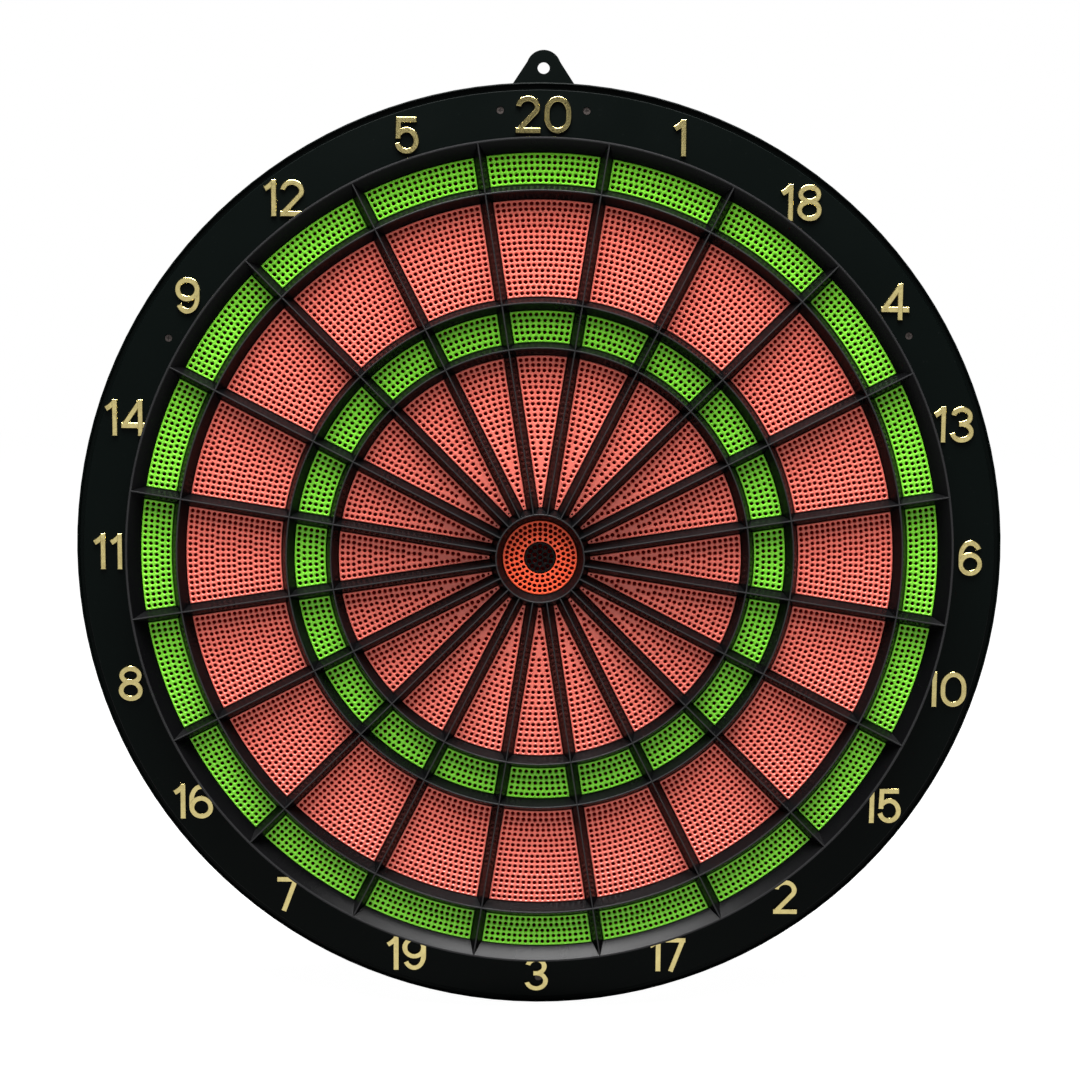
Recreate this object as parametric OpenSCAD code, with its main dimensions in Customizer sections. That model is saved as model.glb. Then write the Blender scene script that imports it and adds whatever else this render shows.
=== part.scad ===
/* [Target] */
// Radius of the outer edge of the double ring, half of the regulation target size
target_r = 197; // [190:1:200]
// Depth from the wall to the front face of the scoring segments
face_z = 36; // [35:0.5:40]
// Height of the spider's ridges above the segments
ridge_h = 5.8; // [3:0.1:8]
// Gap between the visible edges of neighbouring sectors
sector_gap = 6.3; // [5:0.1:7]
// Clearance between a segment and the spider around it
segment_play = 0.35; // [0.3:0.05:0.5]
// How far a segment travels inwards when a dart hits it
segment_travel = 1.4; // [0.8:0.1:1.5]
// Thickness of a scoring segment
segment_t = 9; // [8:0.5:9]

/* [Casing] */
// Outer radius of the number ring
ring_r = 233.6; // [232:0.1:240]
// Height of the number ring's flat panel above the wall
panel_z = 20; // [19.5:0.1:21]
// Wall thickness of the moulded casing parts
wall = 2.2; // [1.8:0.1:2.4]
// Thickness of the wall pads that stand proud of the back cover
pad_proud = 1.5; // [1:0.1:2]

/* [Numerals] */
// Height of a numeral
numeral_h = 18.1; // [16:0.1:20]
// Width of a numeral's stroke
stroke = 2.9; // [2:0.1:3.2]
// Radius of the circle through the numerals' centres
numeral_r = 217.2; // [216:0.1:219]
// How far a numeral stands above the panel
numeral_relief = 1; // [0.4:0.1:1.5]

/* [Hanger] */
// Radius of the hanging hole
hang_r = 3.05; // [2.5:0.05:3.5]
// Height of the hanging hole above the bull
hang_y = 242.6; // [240:0.1:244]
// Thickness of the hanger plate
hanger_t = 3; // [2:0.1:3]

/* [Battery bay] */
// Height of the bay's centre, below the bull
bay_y = -112; // [-118:1:-106]
// Width of the bay inside
bay_w = 48; // [47.5:0.5:52]
// Height of the bay inside, across the three cells
bay_h = 34; // [33:0.5:36]

/* [Hidden] */
$fn = 96;
eps = 0.01;

// The sector order around the board, clockwise from the top.
SECTORS = [20, 1, 18, 4, 13, 6, 10, 15, 2, 17, 3, 19, 7, 16, 8, 11, 14, 9, 12, 5];
sector_deg = 360 / len(SECTORS);

// Visible edges of the scoring rings.
bull_in_r = 7.6;
bull_out_r = 18.4;
inner_single = [24.9, 99.5];
triple_ring = [106.0, 121.3];
outer_single = [127.9, 174.7];
double_ring = [182.0, target_r];
hub_r = 21.7;
bezel_r = target_r + 6.3;
bezel_out_r = bezel_r + 0.7;
// The spider's ring ribs: the gaps that they fill, and the radius of each ridge.
RIBS = [
    [inner_single[1], triple_ring[0], 103.0],
    [triple_ring[1], outer_single[0], 124.8],
    [outer_single[1], double_ring[0], 178.5]
];

// Depths, counted from the wall.
segment_z = face_z - segment_t;
flange_t = 1.1;
flange_w = 1.3;
rib_z = segment_z + flange_t + 0.35;
rib_step = 0.08;
bull_step_z = rib_z + segment_travel;
ridge_z = face_z + ridge_h;
cover_z = pad_proud;
floor_z = cover_z + wall;
plate_z = 17.4;
plate_t = 3.9;
membrane_z = plate_z + plate_t + 0.1;
membrane_t = 0.5;
mat_z = membrane_z + membrane_t + 0.1;
mat_t = segment_z - segment_travel - 0.3 - mat_z;
stack_r = target_r + 2.2;
bezel_in_r = target_r + 2.8;
spider_base_z = 15.6;
flange_r = 210.2;
panel_back_z = panel_z - wall;
lip_z = panel_z - 2.4;
skirt_z = 2;

// Screws: three hold the number ring, two more reach the hanger plate.
RING_SCREWS = [[214.0, 150.1], [214.1, 31.2], [219.3, 270.3]];
hanger_screw = [21.3, 219.3];
screw_head_r = 1.75;
screw_r = 1;
// Screws through the back cover into the spider.
back_screw_r = 201.9;
BACK_SCREWS = [for (i = [0:7]) 22.5 + 45 * i];
back_head_r = 2.7;
back_shank_r = 1.15;

cell_r = 5.25;
cell_len = 44.5;
cell_z = 9.75;
door_t = 2.4;
door_w = bay_w + 10;
door_h = bay_h + 8;
door_z = cover_z + 0.1;
door_pin_z = door_z + door_t / 2;
door_pin_y = bay_y - door_h / 2 + door_t / 2;
door_play = 0.35;
pin_len = 2.5;

board_at = [74, -112];
board_size = [62, 44, 1.6];
board_z = 9;
switch_at = [74, -152];
switch_travel = 4;
knob = [4, 3.4];
speaker_at = [-74, -112];
speaker_r = 14;
pad_r = 9;
PADS = [[0, 0], [150, 80], [-150, 80], [110, -165], [-110, -165]];

function two_digits(n) = n < 10 ? str("0", n) : str(n);
function single_name(s) = str("single_", two_digits(s));
function scoring_name(s) = str("double_triple_", two_digits(s));
function polar(r, a) = [r * cos(a), r * sin(a)];
function sector_angle(i) = 90 - sector_deg * i;

// Stands the board up: x stays, y becomes the height and z the distance from the wall.
module board() {
    rotate([90, 0, 0]) children();
}

// A flat layer from z upwards.
module layer(z, t) {
    translate([0, 0, z]) linear_extrude(t) children();
}

module ring2d(r_in, r_out) {
    difference() {
        circle(r_out);
        circle(r_in);
    }
}

// One cell between two ring radii, pointing at angle a, with sides parallel to the ribs.
module cell2d(span, gap, a) {
    reach = span[1] * 1.3;
    intersection() {
        ring2d(span[0], span[1]);
        rotate(a) translate([gap / 2 / sin(sector_deg / 2), 0])
            polygon([[0, 0], polar(reach, -sector_deg / 2), polar(reach, sector_deg / 2)]);
    }
}

// A scoring segment: the plug that shows, and a flange that keeps it behind the spider.
module segment(span, a) {
    layer(segment_z, segment_t) cell2d(span, sector_gap, a);
    layer(segment_z, flange_t)
        cell2d([span[0] - flange_w, span[1] + flange_w], sector_gap - 2 * flange_w, a);
}

module single_pair(i) {
    color("salmon") board() {
        segment(outer_single, sector_angle(i));
        segment(inner_single, sector_angle(i));
    }
}

module scoring_pair(i) {
    color("limegreen") board() {
        segment(double_ring, sector_angle(i));
        segment(triple_ring, sector_angle(i));
    }
}

module outer_bull() {
    color("tomato") board() {
        layer(bull_step_z, face_z - bull_step_z) ring2d(bull_in_r + segment_play, bull_out_r);
        layer(segment_z, segment_t) ring2d(bull_in_r + flange_w + 0.4, bull_out_r);
        layer(segment_z, flange_t) ring2d(bull_in_r + flange_w + 0.4, bull_out_r + flange_w);
    }
}

module inner_bull() {
    color("black") board() {
        layer(segment_z, segment_t) circle(bull_in_r);
        layer(segment_z, flange_t) circle(bull_in_r + flange_w);
    }
}

// A straight rib along +x with a knife edge on top, a hair lower than the ring ribs.
module radial_rib(r0, r1) {
    half = sector_gap / 2 - segment_play;
    translate([r0, 0, 0]) rotate([90, 0, 90])
        linear_extrude(r1 - r0)
            polygon([[-half, rib_z], [half, rib_z], [half, face_z - rib_step],
                     [0, ridge_z - rib_step], [-half, face_z - rib_step]]);
}

// A ring rib between two rings of segments.
module ring_rib(r_in, r_out, r_top) {
    rotate_extrude()
        polygon([[r_in + segment_play, rib_z + rib_step], [r_out - segment_play, rib_z + rib_step],
                 [r_out - segment_play, face_z], [r_top, ridge_z],
                 [r_in + segment_play, face_z]]);
}

module bezel() {
    inner = double_ring[1] + segment_play;
    rotate_extrude()
        polygon([[bezel_in_r, spider_base_z], [flange_r, spider_base_z],
                 [flange_r, panel_back_z - eps], [bezel_out_r, panel_back_z - eps],
                 [bezel_out_r, ridge_z - 1.2], [bezel_r + 0.45, ridge_z - 0.3],
                 [bezel_r, ridge_z], [bezel_r - 0.6, ridge_z - 0.2],
                 [inner, face_z], [inner, rib_z + rib_step],
                 [bezel_in_r, rib_z + rib_step]]);
}

module spider() {
    color([0.1, 0.1, 0.105]) board() difference() {
        union() {
            for (i = [0:len(SECTORS) - 1])
                rotate(sector_angle(i) + sector_deg / 2)
                    radial_rib(bull_out_r + 1.5, bezel_r - 0.6);
            for (r = RIBS) ring_rib(r[0], r[1], r[2]);
            ring_rib(bull_out_r, inner_single[0], hub_r);
            bezel();
        }
        for (a = BACK_SCREWS)
            translate(concat(polar(back_screw_r, a), spider_base_z - 1))
                cylinder(r = back_shank_r + 0.05, h = 11);
    }
}

module number_ring() {
    in_r = bezel_out_r + 0.4;
    groove_r = ring_r - 4.2;
    color([0.04, 0.07, 0.06]) board() difference() {
        rotate_extrude()
            polygon([[in_r, panel_z], [groove_r - 0.3, panel_z], [groove_r, panel_z - 0.3],
                     [groove_r + 0.1, lip_z - 1.4], [ring_r - 1.4, lip_z - 1.4],
                     [ring_r - 1.2, lip_z - 0.2], [ring_r - 0.8, lip_z],
                     [ring_r - 0.25, lip_z - 0.5], [ring_r, lip_z - 2.6],
                     [ring_r - 1, skirt_z], [ring_r - 3, skirt_z],
                     [ring_r - 2.4, lip_z - 3.6], [groove_r - 2.2, lip_z - 3.6],
                     [groove_r - 2.4, panel_back_z], [in_r, panel_back_z]]);
        for (s = screw_points()) translate(concat(s, 0)) {
            cylinder(r = screw_r + 0.15, h = panel_z + 1);
            translate([0, 0, panel_z - 1.5]) cylinder(r = screw_head_r + 0.2, h = 2);
        }
        layer(skirt_z - 1, floor_z + 1.3 - skirt_z + 1) hanger_outline(0.4);
    }
}

function screw_points() = concat(
    [for (s = RING_SCREWS) polar(s[0], s[1])],
    [for (side = [-1, 1]) [side * hanger_screw[0], hanger_screw[1]]]);

// A stroke of a numeral: a straight bar with round ends.
module bar2d(p, q) {
    d = q - p;
    n = [-d[1], d[0]] / norm(d) * stroke / 2;
    polygon([p + n, p - n, q - n, q + n]);
    translate(p) circle(stroke / 2);
    translate(q) circle(stroke / 2);
}

// A stroke of a numeral: an arc about c from angle a0 to a1.
module arc2d(c, r, a0, a1) {
    translate(c) intersection() {
        ring2d(r - stroke / 2, r + stroke / 2);
        polygon(concat([[0, 0]],
            [for (i = [0:8]) polar(2.5 * r, a0 + (a1 - a0) * i / 8)]));
    }
}

// Middle lines of the strokes run from lo to hi, inside the numeral's height.
lo = stroke / 2;
hi = numeral_h - stroke / 2;
function digit_w(d) = [13.4, 6.7, 12.4, 12, 14.4, 12, 12.6, 11, 11.5, 12.6][d];

module digit(d) {
    w = digit_w(d);
    mid = w / 2;
    r = mid - lo;
    if (d == 0) {
        arc2d([mid, hi - r], r, 0, 180);
        arc2d([mid, lo + r], r, 180, 360);
        bar2d([lo, lo + r], [lo, hi - r]);
        bar2d([w - lo, lo + r], [w - lo, hi - r]);
    }
    if (d == 1) {
        bar2d([w - lo, lo], [w - lo, hi]);
        bar2d([lo, hi - 3.4], [w - lo, hi]);
    }
    if (d == 2) {
        arc2d([mid, hi - r], r, -38, 165);
        bar2d([mid, hi - r] + polar(r, -38), [lo + 0.4, lo]);
        bar2d([lo + 0.4, lo], [w - lo, lo]);
    }
    if (d == 3) {
        split = 9.4;
        top = (hi - split) / 2;
        low = (split - lo) / 2;
        arc2d([mid, split + top], top, -90, 160);
        arc2d([mid, lo + low], low, -165, 90);
    }
    if (d == 4) {
        post = w - 4.7;
        bar2d([post, lo], [post, hi]);
        bar2d([post, hi], [lo, lo + 3.7]);
        bar2d([lo, lo + 3.7], [w - lo, lo + 3.7]);
    }
    if (d == 5) {
        arc2d([mid - 0.3, lo + r], r, -155, 138);
        bar2d([lo + 1, lo + r + 3.4], [lo + 1.9, hi]);
        bar2d([lo + 1.9, hi], [w - lo, hi]);
    }
    if (d == 6) six(w);
    if (d == 7) {
        bar2d([lo, hi], [w - lo, hi]);
        bar2d([w - lo, hi], [lo + 2.6, lo]);
    }
    if (d == 8) {
        split = 9.7;
        top = (hi - split) / 2;
        low = (split - lo) / 2;
        translate([mid, split + top]) ring2d(top - stroke / 2, top + stroke / 2);
        translate([mid, lo + low]) ring2d(low - stroke / 2, low + stroke / 2);
    }
    if (d == 9) translate([w, numeral_h]) rotate(180) six(w);
}

// A bowl at the bottom and one long arc over it.
module six(w) {
    r = w / 2 - lo;
    sweep = hi - lo - r + 1.2;
    translate([w / 2, lo + r]) ring2d(r - stroke / 2, r + stroke / 2);
    arc2d([lo + sweep, lo + r], sweep, 112, 180);
}

// The numeral of sector i, cut off where it would run into the bezel.
module numeral(i) {
    space = 1.7;
    n = SECTORS[i];
    digits = n < 10 ? [n] : [floor(n / 10), n % 10];
    width = len(digits) == 1 ? digit_w(digits[0])
        : digit_w(digits[0]) + space + digit_w(digits[1]);
    at = polar(numeral_r, sector_angle(i)) - [width, numeral_h] / 2;
    difference() {
        union() {
            translate(at) digit(digits[0]);
            if (len(digits) == 2)
                translate(at + [digit_w(digits[0]) + space, 0]) digit(digits[1]);
        }
        circle(bezel_out_r + 0.7);
    }
}

module numerals() {
    color([0.75, 0.66, 0.38]) board()
        for (i = [0:len(SECTORS) - 1]) layer(panel_z, numeral_relief) numeral(i);
}

// The hanger's triangle with its round top, grown all round by extra.
module hanger_outline(extra = 0) {
    top_r = 8.7 + extra;
    lean = 33.6;
    touch = (top_r - 0.25) * [cos(lean), sin(lean)];
    drop = hang_y - 213 + extra;
    foot = touch[0] + (drop + touch[1]) * tan(lean);
    translate([0, hang_y]) {
        circle(top_r);
        polygon([[-touch[0], touch[1]], [-foot, -drop], [foot, -drop], touch]);
    }
}

module hanger_plate() {
    color([0.07, 0.09, 0.08]) board() difference() {
        layer(cover_z, hanger_t) hanger_outline();
        translate([0, hang_y, 0]) cylinder(r = hang_r, h = 20);
        for (side = [-1, 1])
            translate([side * hanger_screw[0], hanger_screw[1], 0])
                cylinder(r = screw_r + 0.05, h = 20);
    }
}

// A hollow post that takes a screw from the front.
module front_post(p) {
    translate(concat(p, cover_z)) cylinder(r = 3.2, h = panel_back_z - cover_z);
}

module back_cover() {
    out_r = ring_r - 4;
    rib_top = plate_z - 0.1;
    color([0.09, 0.09, 0.1]) board() difference() {
        union() {
            rotate_extrude()
                polygon([[0, cover_z], [out_r - 1, cover_z], [out_r, cover_z + 1],
                         [out_r, lip_z - 3.8], [out_r - wall, lip_z - 3.8],
                         [out_r - wall, floor_z], [0, floor_z]]);
            layer(cover_z, spider_base_z - cover_z) ring2d(stack_r - 1, flange_r - 3.4);
            for (r = [24, 60, 150])
                layer(floor_z - eps, rib_top - rib_step - floor_z) ring2d(r - 1, r + 1);
            for (a = [0, 30, 60, 90, 120, 150, 180])
                rotate(a) translate([24, -1, floor_z - eps]) cube([stack_r - 24.4, 2, rib_top - floor_z]);
            for (s = screw_points()) front_post(s);
            layer(floor_z - eps, hanger_t + 0.2) intersection() {
                hanger_outline(2.2);
                circle(out_r - 0.5);
            }
            bay_shell();
            for (x = [-1, 1], y = [-1, 1])
                translate([board_at[0] + x * 27, board_at[1] + y * 18, cover_z])
                    cylinder(r = 2.6, h = board_z - cover_z);
        }
        bay_hollow();
        // Clear room for the circuit board, the speaker and the switch among the ribs.
        layer(floor_z, 20) translate(board_at) difference() {
            square([board_size[0] + 2, board_size[1] + 14], center = true);
            for (x = [-1, 1], y = [-1, 1]) translate([x * 27, y * 18]) circle(2.9);
        }
        for (a = BACK_SCREWS) translate(concat(polar(back_screw_r, a), 0)) {
            cylinder(r = 1.3, h = 20);
            cylinder(r = back_head_r + 0.2, h = 8);
        }
        for (s = screw_points()) translate(concat(s, 0)) cylinder(r = screw_r + 0.05, h = 30);
        layer(0, cover_z + hanger_t + 0.1) hanger_outline(0.3);
        for (p = PADS) translate(concat(p, 0)) cylinder(r = pad_r + 0.1, h = cover_z + 0.5);
        translate(concat(switch_at, 0))
            layer(0, 10) square([knob[0] + switch_travel + 0.8, knob[1] + 0.8], center = true);
        for (k = [-3:3])
            translate([speaker_at[0] + 3.4 * k - 0.8, speaker_at[1], 0])
                layer(0, floor_z + 1) square([1.6, 2 * sqrt(144 - pow(3.4 * k, 2))], center = true);
    }
}

// Walls around the three cells, closed on the side of the circuit board.
module bay_shell() {
    translate([-bay_w / 2 - 1.6, bay_y - bay_h / 2 - 1.6, floor_z - eps])
        cube([bay_w + 3.2, bay_h + 3.2, plate_z - 0.2 - floor_z]);
    translate([-door_w / 2 - 4.5, bay_y - door_h / 2 - 2, cover_z])
        cube([door_w + 9, door_h + 4, door_t + 2]);
}

module bay_hollow() {
    translate([-bay_w / 2, bay_y - bay_h / 2, 0])
        cube([bay_w, bay_h, plate_z - 1.6]);
    translate([-door_w / 2 - door_play, bay_y - door_h / 2 - door_play, 0])
        cube([door_w + 2 * door_play, door_h + 2 * door_play, door_z + door_t + 0.2]);
    translate([-door_w / 2 - pin_len - 0.3, door_pin_y, door_pin_z]) rotate([0, 90, 0])
        cylinder(r = 1.05, h = door_w + 2 * pin_len + 0.6);
}

// The door turns on two stub pins along its lower edge.
module battery_door() {
    top = bay_y + door_h / 2;
    color([0.09, 0.09, 0.1]) board() difference() {
        union() {
            translate([-door_w / 2, door_pin_y, door_z])
                cube([door_w, top - door_pin_y, door_t]);
            translate([-door_w / 2, door_pin_y, door_pin_z]) rotate([0, 90, 0])
                cylinder(r = door_t / 2, h = door_w);
            translate([-door_w / 2 - pin_len, door_pin_y, door_pin_z]) rotate([0, 90, 0])
                cylinder(r = 1, h = door_w + 2 * pin_len);
        }
        translate([0, top + 2, door_z - 1]) cylinder(r = 7, h = 2);
        for (k = [0:4])
            translate([-12, top - 10 - 2.2 * k, door_z - 1]) cube([24, 1, 1.5]);
    }
}

module batteries() {
    color([0.3, 0.45, 0.6]) board()
        for (k = [-1:1]) {
            way = k == 0 ? -1 : 1;
            translate([0, bay_y + 11 * k, cell_z]) rotate([0, 90 * way, 0]) {
                translate([0, 0, -cell_len / 2]) cylinder(r = cell_r, h = cell_len - 0.8);
                translate([0, 0, cell_len / 2 - 1]) cylinder(r = 1.9, h = 1);
            }
        }
}

// Bent tin plates at both ends of the cells, each with its spring.
module battery_contacts() {
    color("silver") board()
        for (side = [-1, 1], k = [-1:1]) {
            way = k == 0 ? -1 : 1;
            x = side * (bay_w / 2 - 0.5);
            translate([x - 0.2, bay_y + 11 * k - 4, 5.5]) cube([0.4, 8, 8.4]);
            if (side != way)
                translate([x, bay_y + 11 * k, cell_z]) rotate([0, -90 * side, 0])
                    cylinder(r1 = 3.2, r2 = 2, h = 1.2);
        }
}

module circuit_board() {
    top = board_size[2];
    color("seagreen") board() translate(concat(board_at, board_z)) {
        difference() {
            layer(0, top) square([board_size[0], board_size[1]], center = true);
            for (x = [-1, 1], y = [-1, 1])
                translate([27 * x, 18 * y, -1]) cylinder(r = 1.2, h = 4);
        }
        translate([-14, -6, top]) cube([14, 14, 1.8]);
        translate([8, -4, top]) cube([9, 7, 1.4]);
        translate([-16, 13, top]) cube([32, 6, 3.2]);
        for (k = [0:4]) translate([4 + 5 * k, -15, top]) cylinder(r = 2, h = 3.4);
    }
    color("silver") board() translate(concat(switch_at, floor_z + 1.8))
        difference() {
            translate([-7, -4, 0]) cube([14, 8, 4.6]);
            translate([-6, -3, -1]) cube([12, 6, 4.6]);
        }
}

// The membrane's flat tail, folded down past the edge of the plate to its socket.
module ribbon_cable() {
    x = board_at[0] - 12;
    y = board_at[1] + 16;
    socket_z = board_z + board_size[2] + 3.2;
    color([0.85, 0.83, 0.75]) board() {
        translate([x, y + 14, socket_z + 0.2]) cube([24, 0.4, membrane_z - socket_z - 0.2]);
        translate([x, y - 1, socket_z]) cube([24, 15.4, 0.4]);
    }
}

module speaker() {
    color([0.25, 0.25, 0.27]) board() translate(concat(speaker_at, floor_z + 0.1)) {
        rotate_extrude()
            polygon([[speaker_r, 0], [speaker_r, 1.2], [speaker_r - 2, 1.6], [8, 4.6],
                     [0, 4.6], [0, 3], [6, 3], [speaker_r - 3, 0.4], [speaker_r - 2, 0]]);
        translate([0, 0, 4.6 - eps]) cylinder(r = 7, h = 3.4);
    }
}

module power_switch() {
    rest = -switch_travel / 2;
    color([0.7, 0.7, 0.72]) board() translate([switch_at[0] + rest, switch_at[1], 0]) {
        difference() {
            layer(cover_z - 0.4, floor_z + 4.7 - cover_z) square(knob, center = true);
            for (k = [-1:1]) translate([k * 1.1 - 0.25, -3, cover_z - 1]) cube([0.5, 6, 0.9]);
        }
        layer(floor_z + 0.3, 1) square([knob[0] + 3, knob[1] + 1.6], center = true);
    }
}

// Screws seen from the front: a small round head with a cross recess.
module front_screws() {
    color([0.35, 0.33, 0.3]) board()
        for (s = screw_points()) translate(concat(s, 0)) difference() {
            union() {
                translate([0, 0, panel_z - 1.5]) cylinder(r = screw_head_r, h = 1.1);
                translate([0, 0, cover_z + 0.3]) cylinder(r = screw_r, h = panel_z - cover_z - 1.5);
            }
            cross_recess(panel_z - 1, 1);
        }
}

module back_screws() {
    color("dimgray") board()
        for (a = BACK_SCREWS) translate(concat(polar(back_screw_r, a), 0)) difference() {
            union() {
                translate([0, 0, 6]) cylinder(r = back_head_r, h = 2);
                translate([0, 0, 7.9]) cylinder(r = back_shank_r, h = 17);
            }
            cross_recess(5.5, 1.3);
        }
}

module cross_recess(z, t) {
    for (a = [0, 90])
        layer(z, t) rotate(a) square([2.2, 0.45], center = true);
}

module wall_pads() {
    color([0.15, 0.15, 0.15]) board()
        for (p = PADS) translate(concat(p, 0)) cylinder(r = pad_r, h = cover_z + 0.5);
}

module backing_plate() {
    color([0.55, 0.42, 0.28]) board() difference() {
        layer(plate_z, plate_t) circle(stack_r);
        translate([board_at[0] - 13, board_at[1] + 28, 0]) cube([26, 4, 60]);
    }
}

// Two printed films with a spacer, under the whole target.
module membrane_switch() {
    color([0.85, 0.83, 0.75]) board() layer(membrane_z, membrane_t) circle(stack_r);
}

module silicone_mat() {
    color([0.8, 0.8, 0.78]) board() layer(mat_z, mat_t) circle(stack_r);
}

number_ring();
spider();
numerals();
hanger_plate();
back_cover();
silicone_mat();
membrane_switch();
backing_plate();
circuit_board();
ribbon_cable();
speaker();
batteries();
battery_contacts();
battery_door();
power_switch();
front_screws();
back_screws();
wall_pads();
outer_bull();
inner_bull();
for (i = [0:len(SECTORS) - 1]) single_pair(i);
for (i = [0:len(SECTORS) - 1]) scoring_pair(i);
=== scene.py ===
"""Dresses the packed frame of an electronic dartboard: visible pieces, materials, lights and camera."""

import math

import bmesh
import bpy
from bpy.props import FloatProperty, FloatVectorProperty, PointerProperty
from mathutils import Matrix, Vector
from mathutils.geometry import delaunay_2d_cdt


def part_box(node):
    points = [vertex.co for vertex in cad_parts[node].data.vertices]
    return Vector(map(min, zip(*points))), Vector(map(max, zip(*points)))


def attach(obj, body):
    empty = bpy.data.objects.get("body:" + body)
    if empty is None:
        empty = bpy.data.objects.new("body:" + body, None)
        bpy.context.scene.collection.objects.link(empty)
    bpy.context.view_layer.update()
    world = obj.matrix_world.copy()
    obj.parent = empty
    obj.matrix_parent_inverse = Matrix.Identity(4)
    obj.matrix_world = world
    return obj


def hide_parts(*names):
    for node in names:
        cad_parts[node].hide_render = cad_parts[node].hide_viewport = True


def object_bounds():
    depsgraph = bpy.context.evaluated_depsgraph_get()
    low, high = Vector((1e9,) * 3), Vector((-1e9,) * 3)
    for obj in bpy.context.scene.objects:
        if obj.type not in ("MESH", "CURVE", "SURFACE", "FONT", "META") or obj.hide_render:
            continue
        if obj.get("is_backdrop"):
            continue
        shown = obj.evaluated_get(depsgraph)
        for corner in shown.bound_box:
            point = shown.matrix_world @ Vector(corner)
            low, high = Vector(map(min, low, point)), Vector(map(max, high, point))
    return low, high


bl_info = {
    "name": "Electronic dartboard",
    "version": (1, 0, 0),
    "blender": (4, 5, 0),
    "location": "3D View > Sidebar > Dartboard",
    "description": "Builds the segments, spider, numerals and finishes of an electronic dartboard",
    "category": "Object",
}

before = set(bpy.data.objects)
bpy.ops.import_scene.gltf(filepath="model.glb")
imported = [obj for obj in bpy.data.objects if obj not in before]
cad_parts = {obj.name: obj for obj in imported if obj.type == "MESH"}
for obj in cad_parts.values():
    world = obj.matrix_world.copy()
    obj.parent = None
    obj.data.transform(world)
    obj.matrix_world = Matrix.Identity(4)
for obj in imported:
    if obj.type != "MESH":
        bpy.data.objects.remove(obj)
CAD_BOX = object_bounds()

MM = 0.001

# Sector values clockwise from the top, and the angle that each covers.
SECTORS = (20, 1, 18, 4, 13, 6, 10, 15, 2, 17, 3, 19, 7, 16, 8, 11, 14, 9, 12, 5)
SECTOR = 2 * math.pi / len(SECTORS)
TOP = math.pi / 2
ARC_STEPS = 12

# Shapes are drawn in board space: x to the right, y up and z away from the wall, in millimetres.
FACE_Z = 36.0
SEGMENT_Z = 27.0
FLANGE_TOP = SEGMENT_Z + 1.1
FLANGE_W = 1.3
SECTOR_GAP = 6.3
PLAY = 0.35
PANEL_Z = 20.0
BOARD_UNDER, BOARD_TOP = 9.0, 10.6

# How far a rounded edge has come in, and down, halfway round it: the share of its radius.
HALFWAY = 0.29

# Scoring rings: inner and outer radius, and the spacing of the holes along a row.
INNER_SINGLE = (24.9, 99.5, 2.75)
TRIPLE = (106.0, 121.3, 2.8)
OUTER_SINGLE = (127.9, 174.7, 2.75)
DOUBLE = (182.0, 197.0, 2.8)
BULL_IN_R = 7.6
BULL_OUT_R = 18.4

# The spider: radii of its ridges, heights, how far down the ridges carry a painted highlight, the step
# under the outer bull, and the bezel's outer side as (radius, height).
HUB_RIDGE = 21.7
RIDGES = (HUB_RIDGE, 103.0, 124.8, 178.5, 203.3)
RIB_BASE = 28.5
RIDGE_Z = 41.8
RIDGE_HIGHLIGHT_DEPTH = 0.4
BULL_STEP_R, BULL_STEP_Z = BULL_IN_R + FLANGE_W + 0.4, RIB_BASE + 1.35
BEZEL_POST_R = 199.8
BEZEL_SIDE = ((203.6, 41.72), (203.85, 41.45), (204.0, 40.9), (204.0, 17.78),
              (210.2, 17.78), (210.2, 15.6), (BEZEL_POST_R, 15.6), (BEZEL_POST_R, RIB_BASE))
# Steps up a rib's side: height, share of its half width left, and the bezel's radius there.
RIB_STEPS = (
    (RIB_BASE, 1.0, 197.35),
    (35.85, 1.0, 197.35),
    (36.0, 0.985, 197.45),
    (38.8, 0.56, 200.1),
    (41.58, 0.125, 202.72),
    (41.72, 0.085, 202.9),
    (41.785, 0.04, 203.1),
    (RIDGE_Z, 0.0, RIDGES[-1]),
)

NUMERAL_R = 217.2
NUMERAL_H = 18.1
DIGIT_GAP = 1.7


# ---------------------------------------------------------------- settings

class SegmentSettings(bpy.types.PropertyGroup):
    """Sizes and colours of the scoring segments."""

    hole_radius: FloatProperty(
        name="Hole radius", description="Radius of a dart hole", default=0.92 * MM,
        unit="LENGTH", precision=5)
    dimple_radius: FloatProperty(
        name="Dimple radius", description="Radius of the countersink that leads a dart in",
        default=1.33 * MM, unit="LENGTH", precision=5)
    dimple_depth: FloatProperty(
        name="Dimple depth", description="Depth of the countersink", default=0.5 * MM,
        unit="LENGTH", precision=5)
    hole_depth: FloatProperty(
        name="Hole depth", description="Depth of a dart hole", default=4.5 * MM,
        unit="LENGTH", precision=5)
    row_pitch: FloatProperty(
        name="Row spacing", description="Distance between rows of holes", default=2.7 * MM,
        unit="LENGTH", precision=5)
    margin: FloatProperty(
        name="Margin", description="From a segment's edge to the middle of its first holes",
        default=1.8 * MM, unit="LENGTH", precision=5)
    edge_round: FloatProperty(
        name="Edge rounding", description="Rounding of a segment's top edge",
        default=0.35 * MM, unit="LENGTH", precision=5)
    green: FloatVectorProperty(
        name="Green", description="Plastic of the doubles and triples", subtype="COLOR",
        default=(0.21, 0.71, 0.033), min=0, max=1)
    salmon: FloatVectorProperty(
        name="Salmon", description="Plastic of the singles", subtype="COLOR",
        default=(0.86, 0.175, 0.13), min=0, max=1)
    bull_red: FloatVectorProperty(
        name="Bull", description="Plastic of the outer bull", subtype="COLOR",
        default=(0.90, 0.10, 0.035), min=0, max=1)


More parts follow.
